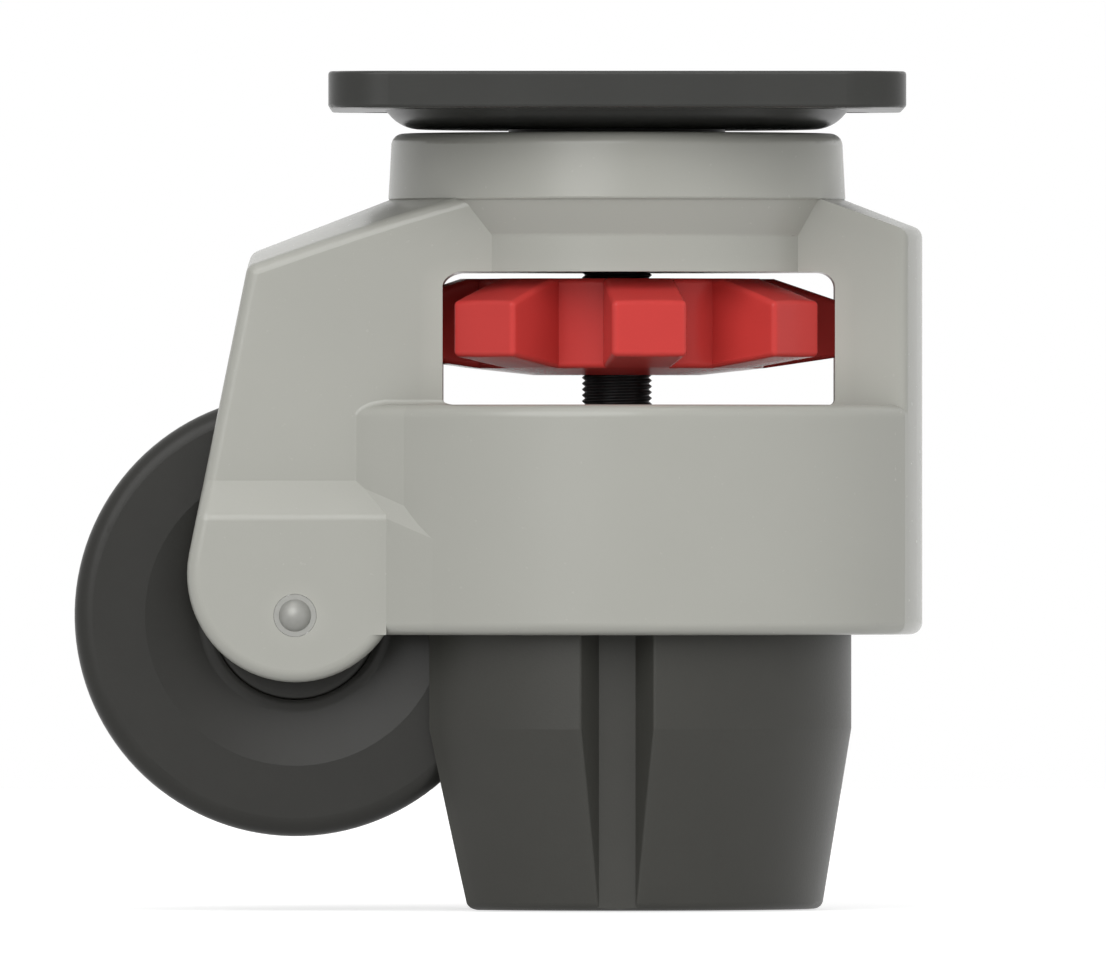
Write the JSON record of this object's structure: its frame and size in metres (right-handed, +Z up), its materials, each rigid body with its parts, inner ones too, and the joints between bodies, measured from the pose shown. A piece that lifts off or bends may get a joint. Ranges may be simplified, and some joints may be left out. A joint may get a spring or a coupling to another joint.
{
  "type": "levelling castor",
  "caption": "Swivel castor with a trailing wheel and a screw foot that a star dial lowers to the floor to level and hold the machine above it.",
  "frame": {"origin": "middle of the foot's sole, on the swivel and spindle axis, at floor level", "axes": "+Z up, out of the mounting plate's top face; the wheel trails towards -X; Y along the wheel axle"},
  "size_m": [0.1444, 0.098, 0.1424],
  "materials": {
    "casting": "die cast, painted light warm grey, satin",
    "plate_steel": "pressed steel, black passivated",
    "bearing_steel": "ground and hardened steel",
    "axle_steel": "plated steel, riveted ends",
    "spindle_steel": "blackened steel, threaded",
    "bush_bronze": "sintered bronze, oiled",
    "dial_plastic": "moulded red nylon, satin",
    "wheel_nylon": "moulded black nylon, satin",
    "foot_rubber": "moulded dark grey rubber, matt"
  },
  "bodies": {
    "mount_plate": {"top_plate": "plate_steel", "race_dish": "plate_steel", "kingpin": "plate_steel", "upper_thrust_washer": "plate_steel", "swivel_washer": "bush_bronze"},
    "housing": {"castor_body": "casting", "lower_thrust_washer": "bearing_steel", "thrust_balls": "bearing_steel", "ball_cage": "bush_bronze", "swivel_bush": "bush_bronze", "spindle_bush": "bush_bronze", "snap_ring": "spindle_steel", "axle": "axle_steel", "axle_sleeve": "bearing_steel", "axle_spacers": "bearing_steel", "bearing_inner_rings": "bearing_steel"},
    "adjuster": {"adjusting_dial": "dial_plastic", "dial_nut": "spindle_steel", "spindle": "spindle_steel"},
    "foot": {"foot_block": "foot_rubber", "foot_nut": "bearing_steel"},
    "wheel": {"wheel": "wheel_nylon", "bearing_outer_rings": "bearing_steel", "bearing_balls": "bearing_steel", "bearing_shields": "spindle_steel"}
  },
  "joints": [
    {"name": "swivel", "type": "hinge", "parent": "mount_plate", "child": "housing", "pos_m": [0, 0, 0.128], "axis": [0, 0, 1], "continuous": true},
    {"name": "wheel_spin", "type": "hinge", "parent": "housing", "child": "wheel", "pos_m": [-0.0547, 0, 0.0501], "axis": [0, 1, 0], "continuous": true},
    {"name": "dial_turn", "type": "hinge", "parent": "housing", "child": "adjuster", "pos_m": [0, 0, 0.1], "axis": [0, 0, -1], "range_deg": [0, 5400]},
    {"name": "foot_slide", "type": "slide", "parent": "housing", "child": "foot", "axis": [0, 0, 1], "range_m": [0, 0.015]}
  ],
  "couplings": [
    {"joint": "dial_turn", "follows": "foot_slide", "rad_per_m": 6283.2}
  ]
}
